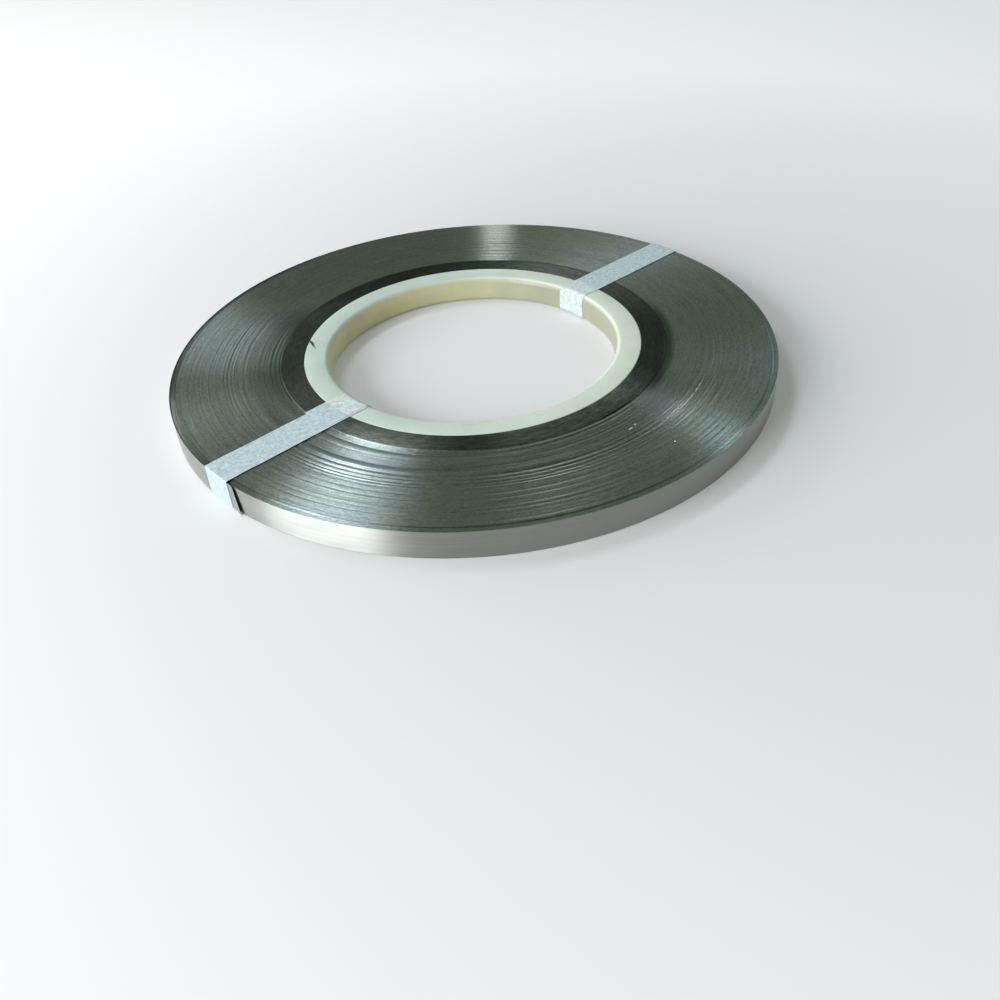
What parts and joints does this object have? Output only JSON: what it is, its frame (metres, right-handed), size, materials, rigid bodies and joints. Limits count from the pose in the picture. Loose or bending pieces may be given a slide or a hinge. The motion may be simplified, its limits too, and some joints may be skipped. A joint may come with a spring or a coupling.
{
  "type": "roll of nickel-plated steel strip",
  "caption": "Flat roll of narrow nickel-plated steel strip wound on a moulded plastic core ring, held by two straps of white tape and lying on its end.",
  "frame": {"origin": "on the roll's axis, level with the undersides of the two straps that it lies on", "axes": "+Z along the roll's axis, up through its upper end; the front strap is about 221 degrees round from +X and the back strap about 39 degrees"},
  "size_m": [0.317, 0.317, 0.0149],
  "materials": {
    "core_plastic": "ivory moulded plastic, satin",
    "nickel_strip": "satin slit edges on the ends, bright nickel round the outside",
    "white_tape": "matt white tape with a fine weave"
  },
  "bodies": {
    "root": {"plastic_core": "core_plastic", "wound_strip": "nickel_strip", "front_strap": "white_tape", "back_strap": "white_tape"}
  },
  "joints": []
}
